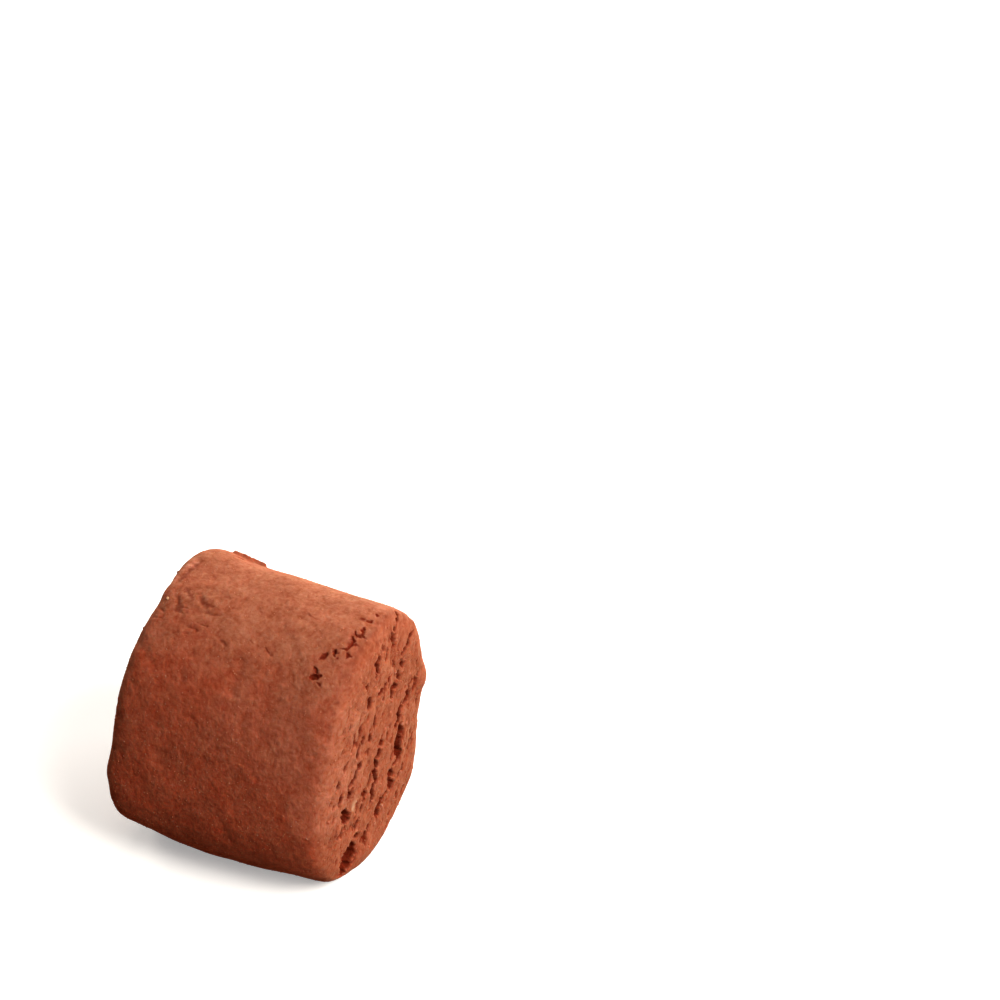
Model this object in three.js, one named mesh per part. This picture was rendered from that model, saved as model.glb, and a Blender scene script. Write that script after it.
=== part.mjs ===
// A chocolate truffle: a short length of soft cocoa and hazelnut paste, rolled
// to a lopsided rounded section and cut across at both ends. It lies on the
// flat of its underside, and is one solid.
//
// Millimetres, +Z up. X runs along the roll, the freshly cut end faces +X and
// the front faces -Y. The origin is on the surface that the truffle lies on,
// under the middle of it.

import * as THREE from "three";
import { mergeVertices } from "three/addons/utils/BufferGeometryUtils.js";

// ---- Driving dimensions

// From the middle of the roll to each cut end.
const HALF_LENGTH = 11.2;

// How far the section reaches from the roll's axis, each way.
const REACH_FRONT = 12.2;
const REACH_BACK = 10.6;
const REACH_UP = 15.2;
const REACH_DOWN = 11.8;

// How square the section's corners are: 2 is an ellipse, 4 is nearly a square.
const SQUARE_FRONT_TOP = 2.9;
const SQUARE_BACK_TOP = 1.6;
const SQUARE_BACK_BOTTOM = 3.4;
const SQUARE_FRONT_BOTTOM = 2.2;

// How tight the rim round each cut end is, on the same scale.
const RIM_SQUARE = 11.8;

// The underside is flat below this height over the section's lowest point.
const FLAT_HEIGHT = 0.35;

// From the middle to the cut end the roll gets thinner, front to back, and
// taller above its axis, by these shares of its size.
const THINNER_TO_CUT = 0.07;
const TALLER_TO_CUT = 0.05;

// Millimetres that the roll slumps for each millimetre: its top to the back,
// its ends' tops to the left, and its ends' back edges to the right.
const TOP_TO_BACK = 0.225;
const TOP_TO_LEFT = 0.045;
const BACK_TO_RIGHT = 0.083;

// Where the soft paste was pressed out or, below zero, in. Each place is
// measured from the middle of the roll.
const PRESSED = [
  { name: "long dip along the top", at: [7.5, 6.1, 14.4], reach: 5.0, rise: -0.65 },
  { name: "corner over the cut end", at: [10.7, 8.0, 11.0], reach: 2.6, rise: 0.49 },
  { name: "upper back rim of the cut end", at: [11.3, 9.2, 4.4], reach: 2.2, rise: 0.09 },
  { name: "middle back rim of the cut end", at: [11.6, 8.8, -0.8], reach: 3.0, rise: -0.29 },
  { name: "lower back rim of the cut end", at: [11.7, 4.8, -8.8], reach: 2.5, rise: -0.2 },
  { name: "foot of the cut end", at: [11.0, -2.5, -10.9], reach: 3.5, rise: 0.26 },
  { name: "front foot by the cut end", at: [7.9, -9.8, -9.3], reach: 2.2, rise: -0.32 },
  { name: "hollow low on the cut end", at: [11.0, -6.3, -7.7], reach: 1.2, rise: -0.6 },
  { name: "crest by the left end", at: [-9.2, 6.1, 13.3], reach: 3.0, rise: 0.28 },
  { name: "top lip of the left end", at: [-11.0, 2.4, 13.6], reach: 2.2, rise: 0.34 },
  { name: "slope below that lip", at: [-11.6, -3.2, 12.7], reach: 4.0, rise: -0.3 },
  { name: "flare of the left end's rim", at: [-11.6, -12.2, -2.0], reach: 4.0, rise: 0.16 },
  { name: "front foot by the left end", at: [-9.5, -11.5, -8.3], reach: 3.0, rise: -0.77 },
];

// Broad hollows and swells left by the rolling: the height of each wave, and
// its length in millimetres along, across and up the roll.
const WAVES = [
  { height: 0.05, along: 13, across: 9, up: 17 },
  { height: 0.04, along: 6.5, across: 15, up: 7.5 },
];

// Cells along each edge of the mesh, and how far its lines draw in towards the
// rims, where the surface turns most.
const CELLS = 28;
const DRAW_IN = 0.25;

const PASTE_COLOUR = 0x8a4630;

// ---- The form of the roll

// The distance from the roll's axis to its surface, towards (across, up).
function sectionRadius(across, up) {
  const front = across < 0;
  const low = up < 0;
  const reachAcross = front ? REACH_FRONT : REACH_BACK;
  const reachUp = low ? REACH_DOWN : REACH_UP;
  let square = low ? SQUARE_BACK_BOTTOM : SQUARE_BACK_TOP;
  if (front) square = low ? SQUARE_FRONT_BOTTOM : SQUARE_FRONT_TOP;
  const spread = Math.pow(Math.abs(across) / reachAcross, square)
    + Math.pow(Math.abs(up) / reachUp, square);
  return Math.pow(spread, -1 / square);
}

// The evenly shaped roll is a box that has been rounded. This is where a point
// of the box goes, whose places along, across and up run from -1 to 1.
function rolledPoint(along, across, up) {
  const toSide = Math.max(Math.abs(across), Math.abs(up));
  const y = across * (across < 0 ? REACH_FRONT : REACH_BACK);
  const z = up * (up < 0 ? REACH_DOWN : REACH_UP);
  const fromAxis = Math.hypot(y, z);
  const spread = Math.pow(Math.abs(along), RIM_SQUARE) + Math.pow(toSide, RIM_SQUARE);
  const draw = Math.pow(spread, -1 / RIM_SQUARE);
  const point = new THREE.Vector3(along * HALF_LENGTH * draw, 0, 0);
  if (fromAxis > 0) {
    const radius = toSide * sectionRadius(y / fromAxis, z / fromAxis) * draw;
    point.y = y / fromAxis * radius;
    point.z = z / fromAxis * radius;
  }
  return point;
}

// The roll's taper and slump, as a soft piece takes them while it is cut.
function slump(point) {
  const toCut = point.x / HALF_LENGTH;
  point.y *= 1 - THINNER_TO_CUT * toCut;
  if (point.z > 0) point.z *= 1 + TALLER_TO_CUT * toCut;
  point.y += TOP_TO_BACK * point.z;
  point.x += BACK_TO_RIGHT * point.y - TOP_TO_LEFT * point.z;
  return point;
}

// How far the surface is pressed out at a point.
function pressedRise(point) {
  let rise = 0;
  for (const mark of PRESSED) {
    const away = point.distanceTo(new THREE.Vector3(...mark.at)) / mark.reach;
    rise += mark.rise * Math.exp(-away * away);
  }
  for (const wave of WAVES) {
    const turn = 2 * Math.PI * (point.x / wave.along + point.y / wave.across);
    rise += wave.height * Math.sin(turn) * Math.cos(2 * Math.PI * point.z / wave.up);
  }
  return rise;
}

function surfacePoint(along, across, up) {
  const point = slump(rolledPoint(along, across, up));
  const outward = point.clone().normalize();
  point.addScaledVector(outward, pressedRise(point));
  point.z = Math.max(point.z, FLAT_HEIGHT - REACH_DOWN);
  return point;
}

// ---- The mesh: the six sides of a box, in cells, carried out to the surface

// The place of one line of the grid, from -1 to 1.
function linePlace(index) {
  const even = 2 * index / CELLS - 1;
  return even * (1 + DRAW_IN - DRAW_IN * even * even);
}

function squareDistance(corners, a, b) {
  let sum = 0;
  for (let i = 0; i < 3; i += 1) sum += (corners[3 * a + i] - corners[3 * b + i]) ** 2;
  return sum;
}

// Two triangles for a four-sided cell, split along its shorter diagonal.
function addCell(corners, triangles, [a, b, c, d]) {
  if (squareDistance(corners, a, c) <= squareDistance(corners, b, d)) {
    triangles.push(a, b, c, a, c, d);
  } else {
    triangles.push(a, b, d, b, c, d);
  }
}

function addSide(corners, triangles, axis, sign) {
  const first = corners.length / 3;
  const next = (axis + 1) % 3;
  const last = (axis + 2) % 3;
  for (let row = 0; row <= CELLS; row += 1) {
    for (let column = 0; column <= CELLS; column += 1) {
      const place = [0, 0, 0];
      place[axis] = sign;
      place[next] = linePlace(row);
      place[last] = linePlace(column);
      corners.push(...surfacePoint(...place).toArray());
    }
  }
  for (let row = 0; row < CELLS; row += 1) {
    for (let column = 0; column < CELLS; column += 1) {
      const a = first + row * (CELLS + 1) + column;
      const b = a + CELLS + 1;
      addCell(corners, triangles, sign > 0 ? [a, b, b + 1, a + 1] : [a, a + 1, b + 1, b]);
    }
  }
}

function truffleGeometry() {
  const corners = [];
  const triangles = [];
  for (const axis of [0, 1, 2]) {
    addSide(corners, triangles, axis, 1);
    addSide(corners, triangles, axis, -1);
  }
  const sides = new THREE.BufferGeometry();
  sides.setAttribute("position", new THREE.Float32BufferAttribute(corners, 3));
  sides.setIndex(triangles);
  const closed = mergeVertices(sides, 1e-4);
  closed.computeBoundingBox();
  const { min, max } = closed.boundingBox;
  closed.translate(-(min.x + max.x) / 2, -(min.y + max.y) / 2, -min.z);
  closed.computeVertexNormals();
  return closed;
}

function makeTruffle() {
  const paste = new THREE.MeshStandardMaterial({
    color: PASTE_COLOUR,
    roughness: 0.9,
    metalness: 0,
  });
  const truffle = new THREE.Mesh(truffleGeometry(), paste);
  truffle.name = "truffle";
  return truffle;
}

const model = new THREE.Group();
model.name = "chocolate_truffle";
model.add(makeTruffle());

export default model;
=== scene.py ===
"""Looks of a chocolate truffle, laid out as an add-on: a rolled and cut piece of cocoa paste.

The roll's skin, its two torn ends, the loose cocoa grains and the nut specks are each made by
an operator of their own. X runs along the roll, +Z is up, and the cut end faces +X.
"""

import math
import random
from typing import NamedTuple

import bmesh
import bpy
import numpy as np
from bpy.props import FloatProperty, FloatVectorProperty, IntProperty, PointerProperty
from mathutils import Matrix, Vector, noise
from mathutils.bvhtree import BVHTree
from mathutils.kdtree import KDTree


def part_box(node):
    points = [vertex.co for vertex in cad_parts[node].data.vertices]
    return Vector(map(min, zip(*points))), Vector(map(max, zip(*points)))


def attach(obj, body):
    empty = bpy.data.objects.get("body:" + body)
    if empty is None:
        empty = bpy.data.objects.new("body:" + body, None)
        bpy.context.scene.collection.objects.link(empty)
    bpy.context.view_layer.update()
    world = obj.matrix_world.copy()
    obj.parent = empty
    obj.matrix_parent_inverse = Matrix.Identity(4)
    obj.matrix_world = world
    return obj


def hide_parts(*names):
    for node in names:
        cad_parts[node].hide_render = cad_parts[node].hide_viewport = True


bl_info = {
    "name": "Chocolate truffle",
    "version": (1, 0, 0),
    "blender": (4, 5, 0),
    "location": "3D View > Sidebar > Truffle",
    "description": "Makes a rolled and cut chocolate truffle with its grain, cracks and crumbs",
    "category": "Add Mesh",
}

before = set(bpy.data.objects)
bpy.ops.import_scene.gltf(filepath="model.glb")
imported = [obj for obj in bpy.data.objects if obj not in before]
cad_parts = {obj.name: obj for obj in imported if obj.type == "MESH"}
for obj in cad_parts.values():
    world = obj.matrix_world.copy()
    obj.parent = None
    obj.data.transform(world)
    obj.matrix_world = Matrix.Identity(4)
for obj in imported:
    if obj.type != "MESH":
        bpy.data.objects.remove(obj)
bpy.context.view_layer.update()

MM = 0.001
NODE = "truffle"
BODY = "root"
MOST_TRIANGLES = 200000

# ---- The mesh's fineness

# Cells along, across and up the block that the roll's skin is laid on.
BLOCK_CELLS = (54, 72, 78)
# Passes that smooth out the CAD solid's facets.
SMOOTH_PASSES = 10
# The share that each pass moves a point in and then, so that the roll keeps its size, out.
SMOOTH_IN = 0.5
SMOOTH_OUT = -0.53
# Rays that look for the surface from outside start this far out, in millimetres.
OUTSIDE = 40
MERGE_DISTANCE = 1e-7
# Cells that face this much along the roll, or are this far inside torn skin, are split.
END_FACING = 0.6
WRINKLED_SHARE = 0.2
# Round each mark, this far from its edge, the cells are made finer: none is wider than this,
# nor than a share of the mark's width that gets smaller as its walls get steeper.
FINE_MARGIN = 0.10
FINE_CELL = 0.11
FINE_SHARE = 0.2
# How far over the right width a cell is when it is split.
SPLIT_OVER = 1.2

# ---- The marks on the roll, in millimetres in the CAD frame


class Mark(NamedTuple):
    """A crack, or with a rise above zero a ridge, that follows a line on one side of the roll."""

    side: str  # top, cut for the end that faces +X, or left for the other end
    path: tuple  # its points: along and across on the top, across and up on an end
    wide: float
    rise: float  # below zero for a crack


CRACKS = (
    # The long crack down the back half of the cut end, which gapes in the middle.
    Mark("cut", ((6.9, 15.4), (6.4, 15.1), (5.6, 15.0)), 0.74, -0.71),
    Mark("cut", ((5.2, 15.3), (5.0, 14.8), (4.6, 14.5), (4.6, 13.3)), 0.69, -0.68),
    Mark("cut", ((4.4, 13.5), (4.0, 13.1)), 0.74, -0.90),
    Mark("cut", ((4.8, 12.4), (4.8, 11.6), (4.5, 10.9), (4.4, 10.1), (4.5, 9.5)), 1.25, -2.10),
    Mark("cut", ((4.7, 9.3), (4.4, 8.9), (3.5, 8.9), (2.9, 8.7)), 0.74, -0.56),
    Mark("cut", ((2.5, 8.5), (3.2, 7.5)), 0.87, -0.64),
    Mark("cut", ((2.5, 7.6), (3.0, 6.1)), 0.87, -0.68),
    Mark("cut", ((1.7, 6.3), (0.8, 6.1), (0.1, 5.4), (0.3, 4.6)), 0.87, -0.86),
    # The crack down the middle.
    Mark("cut", ((1.3, 13.5), (1.4, 12.8)), 0.55, -0.41),
    Mark("cut", ((0.9, 12.5), (0.8, 11.8)), 0.74, -0.64),
    Mark("cut", ((0.2, 12.0), (0.3, 10.9), (0.0, 10.4), (0.0, 9.0)), 0.74, -0.90),
    Mark("cut", ((-0.5, 9.3), (-0.8, 8.5), (-1.1, 7.4)), 0.74, -0.75),
    # Cracks on the front half.
    Mark("cut", ((-2.6, 13.6), (-3.4, 13.3), (-3.9, 12.6), (-4.7, 12.1)), 0.64, -0.60),
    Mark("cut", ((-4.8, 11.7), (-4.7, 10.8)), 0.64, -0.45),
    Mark("cut", ((-0.8, 15.8), (-0.9, 15.0)), 0.55, -0.41),
    Mark("cut", ((-2.1, 16.3), (-2.1, 15.7)), 0.55, -0.41),
    Mark("cut", ((-2.7, 15.9), (-3.3, 14.8)), 0.55, -0.45),
    Mark("cut", ((-3.5, 17.8), (-3.6, 16.7), (-4.1, 16.2)), 0.46, -0.26),
    Mark("cut", ((-2.1, 9.9), (-2.4, 8.7)), 0.55, -0.30),
    Mark("cut", ((-2.8, 8.3), (-2.9, 7.6)), 0.55, -0.45),
    Mark("cut", ((-5.8, 9.9), (-5.6, 9.0), (-5.2, 8.3)), 0.92, -0.79),
    Mark("cut", ((-6.2, 12.2), (-6.5, 11.4)), 0.74, -0.45),
    Mark("cut", ((-6.3, 8.2), (-6.4, 7.0)), 0.55, -0.26),
    Mark("cut", ((-3.5, 7.0), (-4.2, 6.3)), 0.64, -0.56),
    Mark("cut", ((-1.8, 5.0), (-1.9, 4.5)), 0.55, -0.38),
    Mark("cut", ((-2.4, 4.6), (-2.6, 3.2)), 0.55, -0.30),
    # The wide hollow at the foot of the cut end, and the cracks over it.
    Mark("cut", ((-4.3, 5.5), (-3.5, 5.0)), 0.50, -0.50),
    Mark("cut", ((-4.8, 4.9), (-4.4, 3.9)), 0.83, -0.68),
    Mark("cut", ((-4.7, 4.0), (-5.3, 3.3), (-5.7, 2.4)), 2.20, -1.00),
    # Breaks in the upper part of the cut end.
    Mark("cut", ((6.6, 25.2), (6.0, 25.0), (5.6, 24.7)), 0.55, -0.45),
    Mark("cut", ((5.3, 24.6), (4.8, 24.6)), 0.55, -0.41),
    Mark("cut", ((4.4, 24.3), (4.3, 23.1)), 0.55, -0.41),
    Mark("cut", ((7.9, 22.3), (7.3, 22.2), (6.8, 21.8), (6.4, 21.4)), 0.51, -0.56),
    Mark("cut", ((6.3, 21.5), (5.7, 21.1)), 0.69, -0.45),
    Mark("cut", ((5.7, 20.0), (5.6, 19.6)), 0.60, -0.60),
    Mark("cut", ((1.1, 23.6), (1.0, 22.2)), 0.69, -0.68),
    Mark("cut", ((0.7, 22.0), (0.6, 21.5)), 0.55, -0.26),
    Mark("cut", ((2.3, 24.3), (2.6, 23.8)), 0.55, -0.19),
    Mark("cut", ((4.0, 21.3), (4.5, 20.4)), 0.55, -0.22),
    Mark("cut", ((4.8, 19.4), (4.9, 18.5)), 0.55, -0.30),
    Mark("cut", ((3.0, 20.1), (3.1, 19.4)), 0.55, -0.30),
    Mark("cut", ((4.7, 17.7), (4.0, 18.3), (3.7, 18.2), (3.6, 17.2)), 0.64, -0.49),
    Mark("cut", ((2.6, 19.7), (2.0, 19.5)), 0.55, -0.41),
    Mark("cut", ((1.9, 19.5), (1.1, 19.2)), 0.64, -0.71),
    Mark("cut", ((-1.0, 22.1), (-1.2, 21.6)), 0.78, -0.49),
    Mark("cut", ((-0.8, 20.2), (-0.8, 19.3)), 0.78, -0.83),
    Mark("cut", ((7.9, 16.5), (7.9, 15.7), (7.6, 15.1)), 0.74, -0.22),
    Mark("cut", ((0.3, 17.4), (0.2, 16.8), (0.0, 16.0)), 0.55, -0.60),
    # Cracks in the skin along the rim over the cut end.
    Mark("top", ((6.4, -4.75), (6.7, -4.6), (7.0, -4.6), (7.35, -4.35)), 0.45, -0.26),
    Mark("top", ((6.45, -3.9), (6.6, -4.05), (6.8, -4.25)), 0.33, -0.16),
    Mark("top", ((7.15, -4.9), (7.5, -5.1)), 0.31, -0.08),
    Mark("top", ((6.72, -3.05), (6.9, -2.85), (7.02, -2.55)), 0.43, -0.24),
    Mark("top", ((7.75, -2.45), (7.7, -2.2), (7.78, -1.95)), 0.52, -0.28),
    Mark("top", ((8.05, -2.6), (8.3, -2.7)), 0.29, -0.09),
    Mark("top", ((8.1, -1.7), (8.5, -1.6), (8.75, -1.45)), 0.34, -0.14),
    Mark("top", ((8.72, -1.92), (9.0, -2.0), (9.25, -1.92)), 0.45, -0.25),
    Mark("top", ((8.8, -1.4), (8.8, -1.0), (8.95, -0.5), (8.6, -0.1)), 0.45, -0.28),
    Mark("top", ((8.9, -0.6), (9.3, -0.6)), 0.34, -0.11),
    Mark("top", ((8.5, 0.5), (8.75, 0.3), (9.15, 0.3), (9.25, 0.7), (9.0, 1.35)), 0.43, -0.27),
    Mark("top", ((9.4, 0.4), (9.65, 0.5)), 0.31, -0.10),
    Mark("top", ((8.25, 2.5), (8.55, 2.5)), 0.33, -0.09),
    Mark("top", ((8.85, 2.45), (9.1, 2.5), (9.25, 2.8)), 0.43, -0.15),
    Mark("top", ((9.1, 3.7), (9.35, 3.8)), 0.41, -0.11),
    # Scratches and torn places along the top.
    Mark("top", ((1.0, -3.5), (1.4, -3.8), (2.1, -4.1)), 0.26, -0.05),
    Mark("top", ((-0.5, -3.4), (0.0, -3.6)), 0.30, -0.04),
    Mark("top", ((3.1, 1.2), (3.6, 1.0), (4.3, 0.6)), 0.26, -0.05),
    Mark("top", ((-9.2, 0.3), (-8.6, -0.3), (-8.0, -0.7)), 0.60, -0.05),
    Mark("top", ((-7.4, -0.5), (-6.5, -1.0), (-5.4, -1.2)), 0.60, -0.05),
    Mark("top", ((-5.0, 0.5), (-4.4, 0.3)), 0.50, -0.035),
    Mark("top", ((-8.0, -2.1), (-7.4, -2.6)), 0.50, -0.035),
    Mark("top", ((-5.4, -2.8), (-5.1, -3.3)), 0.50, -0.035),
    Mark("top", ((-3.2, -4.1), (-2.7, -4.4), (-1.9, -4.5)), 0.40, -0.035),
    Mark("top", ((-6.4, -3.4), (-5.8, -3.9)), 0.50, -0.035),
    Mark("top", ((-1.2, 0.0), (-0.7, -0.4)), 0.45, -0.03),
    Mark("top", ((1.9, -0.9), (2.3, -1.3)), 0.45, -0.03),
    # Cracks in the left end.
    Mark("left", ((3.6, 20.6), (3.2, 19.2), (2.4, 18.2)), 0.70, -0.60),
    Mark("left", ((2.2, 17.8), (2.3, 16.9), (1.8, 16.0)), 0.64, -0.52),
    Mark("left", ((-1.2, 16.2), (-1.9, 14.8), (-2.0, 13.6)), 0.74, -0.64),
    Mark("left", ((-2.3, 13.2), (-3.0, 12.5)), 0.60, -0.45),
    Mark("left", ((4.2, 11.8), (3.5, 10.2), (3.2, 8.8)), 0.85, -0.80),
    Mark("left", ((2.9, 8.4), (2.2, 7.6), (2.1, 6.8)), 0.69, -0.56),
    Mark("left", ((-5.2, 10.2), (-5.6, 8.8), (-6.4, 7.8)), 0.66, -0.52),
    Mark("left", ((-3.4, 19.8), (-3.9, 18.6)), 0.60, -0.45),
    Mark("left", ((6.9, 15.2), (6.4, 14.0), (6.5, 13.1)), 0.64, -0.52),
    # The thin flake lifted along the back of the top, and the line under it.
    Mark("top", ((-7.6, 7.3), (-6.9, 7.6), (-6.0, 7.5), (-5.2, 7.8), (-4.5, 7.7)), 0.50, 0.44),
    Mark("top", ((-7.0, 6.7), (-6.3, 6.95)), 0.35, -0.05),
    # The lip of the left end's rim, and the groove inside it.
    Mark("top", ((-11.0, 1.2), (-10.7, 3.0), (-10.1, 4.0), (-9.6, 5.3)), 0.9, 0.08),
    Mark("top", ((-10.2, 1.0), (-9.9, 2.8), (-9.4, 4.0)), 0.7, -0.04),
)


class Region(NamedTuple):
    """A round place on the roll, by its middle and its reach."""

    middle: tuple
    reach: float


# Where the skin is torn and wrinkled.
TORN_SKIN = (
    Region((-8.6, -2.6, 24.4), 2.6),
    Region((-5.8, -1.2, 25.4), 2.6),
    Region((-10.0, -5.0, 21.5), 1.8),
)
# Where the soft paste bulges or sinks beyond the CAD solid, with how far, in millimetres.
SWELLS = (
    (Region((11.6, 10.1, 14.9), 1.5), 0.35),
    (Region((11.0, -10.8, 15.0), 5.5), -0.45),
    (Region((11.3, -11.0, 6.0), 4.5), -0.30),
    (Region((-11.3, -5.6, 22.9), 0.9), -0.25),
    (Region((-9.2, 7.0, 25.5), 2.4), 0.50),
    (Region((-11.2, 2.6, 25.2), 1.6), 0.12),
    (Region((-11.0, -0.2, 24.8), 1.4), 0.28),
    (Region((-11.7, -11.3, 10.8), 1.5), 0.20),
)
# Where the surface is paler, with how much: round the rim between the skin and the cut end, where the
# paste is drier and the paleness is also painted light, and along the thin lip of the left end's rim.
PALE_AND_LIT_PATCHES = (
    (Region((7.0, -8.3, 18.5), 4.5), 0.8),
    (Region((6.6, -6.2, 22.4), 2.4), 0.7),
    (Region((2.0, -8.8, 19.0), 4.5), 0.5),
    (Region((10.6, -7.2, 13.0), 4.5), 1.0),
    (Region((10.5, -5.2, 19.5), 3.5), 0.8),
    (Region((9.8, -4.2, 23.7), 2.0), 0.5),
    # A painted highlight along the lip of the left end's rim, where it catches the light.
    (Region((-10.8, 1.0, 25.4), 0.45), 1.5),
    (Region((-10.6, 1.7, 25.6), 0.45), 2.0),
    (Region((-10.4, 2.4, 25.8), 0.45), 2.0),
    (Region((-10.2, 3.1, 25.9), 0.45), 2.0),
    (Region((-10.0, 3.9, 26.0), 0.50), 1.8),
)
# Where bits of nut are cut through.
NUT_PATCHES = (
    Region((10.9, -4.0, 9.4), 0.62),
    Region((10.9, 3.1, 13.5), 0.35),
    Region((10.4, 2.2, 22.9), 0.35),
)

# ---- The relief. Lengths are in millimetres, and slopes are parts of a surface's normal

# An end begins between these slopes along the roll. It stays smooth up to the first of these
# distances from the rim, where it is this torn, and is quite torn past the second.
END_SLOPES = (0.55, 0.85)
SMOOTH_RIM = (0.8, 3.0)
TORN_AT_RIM = 0.2
TORN_INSIDE = 0.8
# Below this slope along the roll, a point belongs to the skin round an end.
SKIN_SLOPE = 0.5

# Which way the paste's layers lie on both ends, across and up, and how much a pattern on the
# ends is stretched along them.
LAYER_LEAN = (0.40, 0.92)
STRETCH = 0.55

# Where nicks are drawn on an end, across and up, and how large each is. The end has to be flat
# as far as this round a nick: no part of it differs by more than a share of that distance.
NICK_ACROSS = (-8.5, 9.5)
NICK_UP = (2.5, 24.0)
NICK_LEAN = 0.35
NICK_LENGTH = (0.2, 1.3)
NICK_WIDTH = (0.28, 0.55)
NICK_DEPTH = (0.15, 0.45)
NICK_BEND = 0.12
NICK_ROOM = 1.4
FLAT_SHARE = 0.3

# How far a mark's line wanders, and how much more for each millimetre of its width up to one.
WAVER = 0.45
WAVER_BY_WIDTH = 0.40
# What it wanders by: the size, shift and share of two noises.
WAVER_NOISES = ((0.8, 3, 0.28), (0.4, 5, 0.22))
# A mark's width and depth at its ends, and what is added towards its middle, as shares.
WIDTH_AT_ENDS = 0.6
WIDTH_ADDED = 0.35
DEPTH_AT_ENDS = 0.75
DEPTH_ADDED = 0.25
# How often along a mark its width and depth change, and how much they do.
BEATS = 1.3
WIDTH_BEAT = 0.35
DEPTH_BEAT = 0.3
# How sharply a mark narrows at its ends, and how far past its width it may still reach.
TAPER_POWER = 4
MARK_MARGIN = 1
# How ragged the edge of a shallow mark is, and how deep one is whose walls are steepest.
FRAY = 0.5
STEEPEST_DEPTH = 0.4


class Pattern(NamedTuple):
    """Smooth noise, by the size of its lumps and the shift that sets it apart from the rest."""

    size: float
    shift: float


SWELL_PATTERN = Pattern(4.5, 1)
LUMP_PATTERN = Pattern(1.6, 2)
PIT_PATTERN = Pattern(1.3, 4)
TEAR_PATTERN = Pattern(0.75, 5)
BROAD_TEAR_PATTERN = Pattern(1.7, 6)
HOLE_PATTERN = Pattern(0.42, 8)
FOLD_PATTERN = Pattern(1.1, 9)
FOLD_PLACES = Pattern(1.6, 10)
WRINKLE_PATTERN = Pattern(0.8, 11)
DUST_AND_LIGHT_PATTERN = Pattern(3.0, 13)
CRUMBLE_PATTERN = Pattern(0.5, 15)
FINE_CRUMBLE_PATTERN = Pattern(0.25, 16)
NUT_EDGE_PATTERN = Pattern(0.5, 17)
RAGGED_PATTERN = Pattern(0.33, 21)

# Pits in the skin and holes in the ends are where their noise is above an edge.
PIT_EDGE = 0.25
PIT_DEPTH = 0.25
HOLE_EDGE = 0.36
HOLE_DEPTH = 0.8
# How much of the height of the torn texture is in its small tears and in its broad ones.
FINE_TEARS = 0.6
BROAD_TEARS = 0.9
# Folds in the torn skin: how they are stretched, their width against their noise, where they
# break off, and their depth beside the height of the wrinkles.
FOLD_STRETCH = (0.6, 1.2, 1)
FOLD_WIDTH = 0.16
FOLD_BREAKS = (-0.2, 0.2)
FOLD_DEPTH = 0.16
WRINKLE_HEIGHT = 0.12
# How far the walls of the cracks and the torn ends crumble, along their own normals.
CRUMBLE = 0.10
FINE_CRUMBLE = 0.05
END_CRUMBLE = 0.5

# Painted shade: a crack's colour is quite dark at this depth in the skin, and at this much more in
# the cut end.
DARK_DEPTH = 0.07
DARK_DEPTH_ADDED = 0.18
# How much painted shade holes, folds and ridges get for their size.
HOLE_DARK = 3.0
FOLD_DARK = 0.7
RIDGE_DARK = 0.7
# What the height of each part of the relief adds to the value that tints the paste: darker low down
# as painted shade, paler high up as a painted highlight.
MIDDLE_HEIGHT = 0.5
LUMP_HEIGHT = 0.5
TEAR_HEIGHT = 0.5
BROAD_TEAR_HEIGHT = 0.6
WRINKLE_DROP = 0.4
# Dust and painted light lie on what faces up, between each pair of slopes by each share, with uneven
# edges and a little more towards the cut end, and on what faces back. The paler, duller bloom there
# is partly real dust and partly painted light: a paler top where the light falls, and a duller back
# where the rim light falls.
DUST_AND_LIGHT_SLOPES = ((-0.2, 0.4, 0.35), (0.5, 1.0, 0.65))
DUST_AND_LIGHT_UNEVEN = 0.12
DUST_AND_LIGHT_ALONG = 0.01
BACK_SLOPES = (0.35, 0.8)
BACK_DUST_AND_LIGHT = 0.9
# Painted shade darkens the rim over the cut end between these slopes, where it also faces up and
# faces the light most.
RIM_SHADE_SLOPES = (0.30, 1.0)
RIM_SHADE_UP = (0, 0.5)
# How fresh the cut end is at its foot, and how much fresher by this height. The left end is
# older: this fresh, and this much fresher where it is torn.
CUT_FRESH = 0.5
CUT_FRESHER = 0.5
CUT_HEIGHTS = (0, 9)
LEFT_FRESH = 0.1
LEFT_FRESHER = 0.6
# How uneven the edges of the bits of nut are.
NUT_EDGE = 0.25

# ---- Colours and grain

# How the grain tints the paste: redder and darker in its pits, partly its own tone and partly painted
# shade, and tanner and paler on its tips, partly a painted highlight.
PIT_SHADE_TINT = (0.76, 0.62, 0.52)
TIP_HIGHLIGHT_TINT = (1.24, 1.51, 1.75)
# Painted shade: the paste is a little darker on the rim over the cut end, where it faces the light.
RIM_SHADE_TINT = (0.78, 0.79, 0.79)
# Rolling has drawn the grain out round the roll: how close together it lies each way.
ROLLED_STRETCH = (1.10, 0.95, 0.97)
# How high the paste's lumps are, beside its grain.
LUMP_SHARE = 1.3
# How large the lumps are beside the grain, and how rough every noise is.
LUMPS_BY_GRAIN = 2.1
NOISE_ROUGHNESS = 0.6
# The size of the patches and of the grain, in the paste and in crumbs.
PASTE_GRAIN = (2.6 * MM, 0.35 * MM)
CRUMB_GRAIN = (1.2 * MM, 0.2 * MM)
# The values of the noises between which patches and grain go from nothing to all.
PATCH_EDGES = (0.38, 0.62)
GRAIN_EDGES = (0.28, 0.72)
# Flecks: the width of a cell against the grain, which cells have one, and its edges.
FLECK_CELL = 1.25
FLECK_CHOICE = (0.80, 0.95)
FLECK_EDGES = (0.42, 0.12)
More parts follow.
